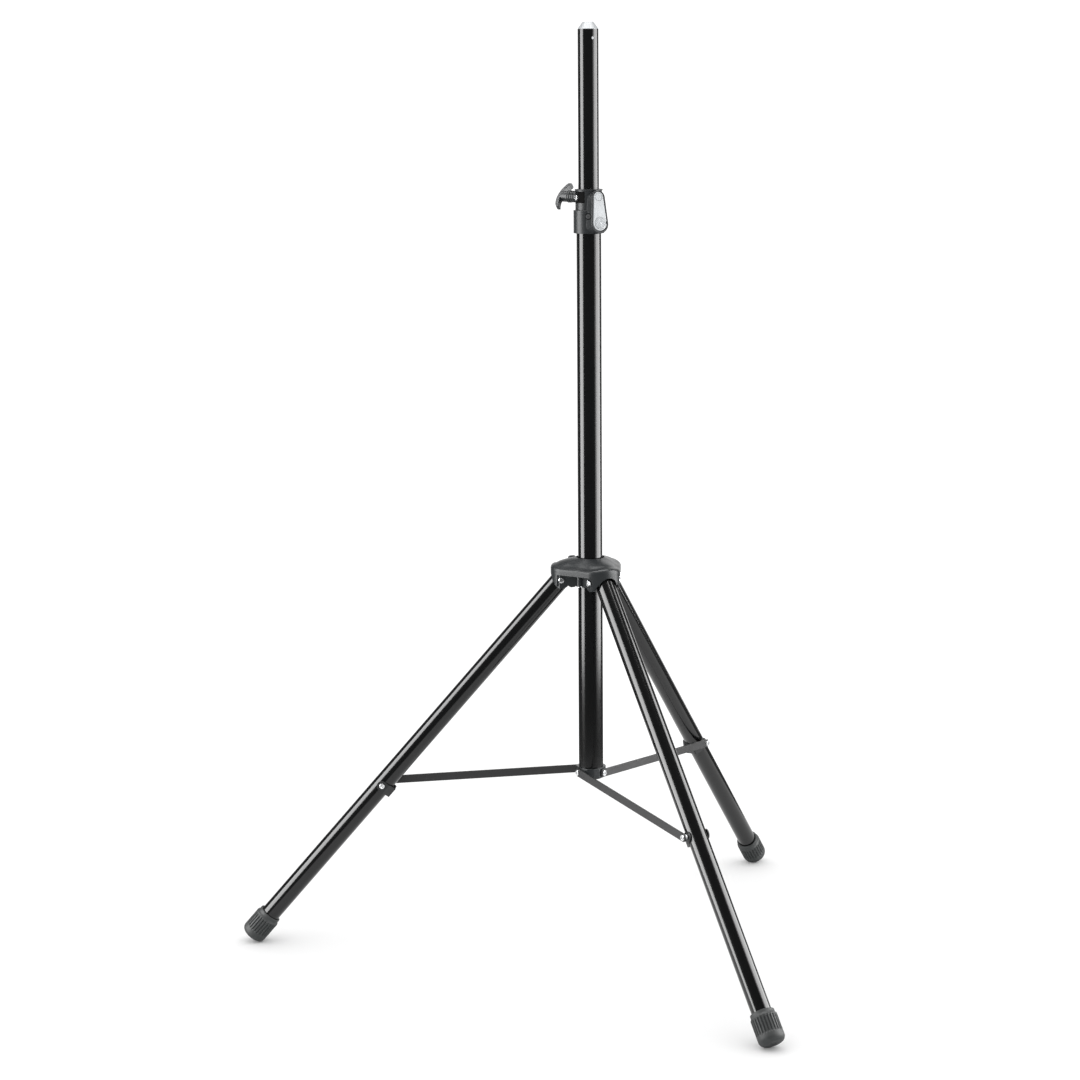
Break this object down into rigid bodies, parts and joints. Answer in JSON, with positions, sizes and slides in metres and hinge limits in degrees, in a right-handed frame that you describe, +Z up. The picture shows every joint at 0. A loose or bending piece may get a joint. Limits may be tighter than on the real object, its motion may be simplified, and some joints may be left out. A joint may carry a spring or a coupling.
{
  "type": "speaker tripod stand",
  "caption": "Telescopic tripod stand with a round pole for a speaker, a clamp knob and safety lever on the mast, and folding tube legs with flat struts.",
  "frame": {"origin": "on the floor, on the axis of the mast", "axes": "+Z up along the mast; -X towards leg 1; -Y is the side that is seen first, with the lever to its right"},
  "size_m": [0.9315, 1.0686, 1.5897],
  "materials": {
    "tube_paint": "gloss black powder coat",
    "housing_plastic": "satin dark grey moulded plastic",
    "knob_plastic": "satin dark grey moulded plastic",
    "bracket_paint": "satin black paint",
    "strut_paint": "satin dark grey paint",
    "foot_rubber": "matt dark grey rubber",
    "lever_plastic": "satin light grey plastic",
    "bush_plastic": "matt black plastic",
    "zinc_steel": "bright zinc plate",
    "plain_steel": "plain steel",
    "insert_brass": "turned brass"
  },
  "bodies": {
    "mast": {"mast_tube": "tube_paint", "mast_end_plug": "bush_plastic", "bottom_collar": "housing_plastic", "collar_rivets": "zinc_steel", "clamp_housing": "housing_plastic", "clamp_bush": "bush_plastic", "clamp_insert": "insert_brass", "housing_screws": "plain_steel", "lever_pin": "plain_steel", "lever_spring": "plain_steel"},
    "pole": {"pole_tube": "tube_paint", "pole_plug": "lever_plastic", "pole_bush": "bush_plastic"},
    "clamp_knob": {"clamp_knob": "knob_plastic", "clamp_screw": "plain_steel"},
    "lever": {"safety_lever": "lever_plastic", "lever_button": "lever_plastic", "lock_pin": "plain_steel"},
    "hub": {"hub_body": "housing_plastic", "hub_cover": "housing_plastic", "hub_cover_screws": "plain_steel", "hub_bush": "bush_plastic", "hub_bolts": "zinc_steel", "hub_nuts": "zinc_steel", "hub_insert": "insert_brass"},
    "hub_knob": {"hub_knob": "knob_plastic", "hub_screw": "plain_steel"},
    "leg_1": {"leg_tube_1": "tube_paint", "leg_plug_1": "bush_plastic", "leg_bracket_1": "bracket_paint", "bracket_rivet_1": "zinc_steel", "foot_cap_1": "foot_rubber"},
    "leg_2": {"leg_tube_2": "tube_paint", "leg_plug_2": "bush_plastic", "leg_bracket_2": "bracket_paint", "bracket_rivet_2": "zinc_steel", "foot_cap_2": "foot_rubber"},
    "leg_3": {"leg_tube_3": "tube_paint", "leg_plug_3": "bush_plastic", "leg_bracket_3": "bracket_paint", "bracket_rivet_3": "zinc_steel", "foot_cap_3": "foot_rubber"},
    "strut_1": {"strut_1": "strut_paint", "strut_rivet_1": "zinc_steel"},
    "strut_2": {"strut_2": "strut_paint", "strut_rivet_2": "zinc_steel"},
    "strut_3": {"strut_3": "strut_paint", "strut_rivet_3": "zinc_steel"}
  },
  "joints": [
    {"name": "pole_slide", "type": "slide", "parent": "mast", "child": "pole", "axis": [0, 0, 1], "range_m": [-0.248, 0.592]},
    {"name": "clamp_knob_turn", "type": "hinge", "parent": "mast", "child": "clamp_knob", "pos_m": [-0.03464, 0.02, 1.3014], "axis": [-0.866, 0.5, 0], "range_deg": [0, 270]},
    {"name": "lever_press", "type": "hinge", "parent": "mast", "child": "lever", "pos_m": [0.01585, -0.02746, 1.30235], "axis": [-0.866, -0.5, 0], "range_deg": [0, 18], "stiffness_Nm_per_rad": 0.3, "springref_deg": -11.46},
    {"name": "hub_slide", "type": "slide", "parent": "mast", "child": "hub", "axis": [0, 0, 1], "range_m": [0, 0.5019]},
    {"name": "hub_knob_turn", "type": "hinge", "parent": "hub", "child": "hub_knob", "pos_m": [-0.03, 0.05196, 0.65376], "axis": [-0.5, 0.866, 0], "range_deg": [0, 270]},
    {"name": "leg_1_fold", "type": "hinge", "parent": "hub", "child": "leg_1", "pos_m": [-0.0483, 0, 0.65376], "axis": [0, -1, 0], "range_deg": [0, 40.64]},
    {"name": "leg_2_fold", "type": "hinge", "parent": "hub", "child": "leg_2", "pos_m": [0.02415, -0.04183, 0.65376], "axis": [0.866, 0.5, 0], "range_deg": [0, 40.64]},
    {"name": "leg_3_fold", "type": "hinge", "parent": "hub", "child": "leg_3", "pos_m": [0.02415, 0.04183, 0.65376], "axis": [-0.866, 0.5, 0], "range_deg": [0, 40.64]},
    {"name": "strut_1_swing", "type": "hinge", "parent": "mast", "child": "strut_1", "pos_m": [0, 0.025, 0.312], "axis": [0, 1, 0], "range_deg": [0, 86.3]},
    {"name": "strut_2_swing", "type": "hinge", "parent": "mast", "child": "strut_2", "pos_m": [-0.02165, -0.0125, 0.312], "axis": [-0.866, -0.5, 0], "range_deg": [0, 86.3]},
    {"name": "strut_3_swing", "type": "hinge", "parent": "mast", "child": "strut_3", "pos_m": [0.02165, -0.0125, 0.312], "axis": [0.866, -0.5, 0], "range_deg": [0, 86.3]}
  ],
  "couplings": [
    {"joint": "leg_1_fold", "follows": "hub_slide", "rad_per_m": 1.413},
    {"joint": "leg_2_fold", "follows": "hub_slide", "rad_per_m": 1.413},
    {"joint": "leg_3_fold", "follows": "hub_slide", "rad_per_m": 1.413},
    {"joint": "strut_1_swing", "follows": "hub_slide", "rad_per_m": 3.0006},
    {"joint": "strut_2_swing", "follows": "hub_slide", "rad_per_m": 3.0006},
    {"joint": "strut_3_swing", "follows": "hub_slide", "rad_per_m": 3.0006}
  ]
}
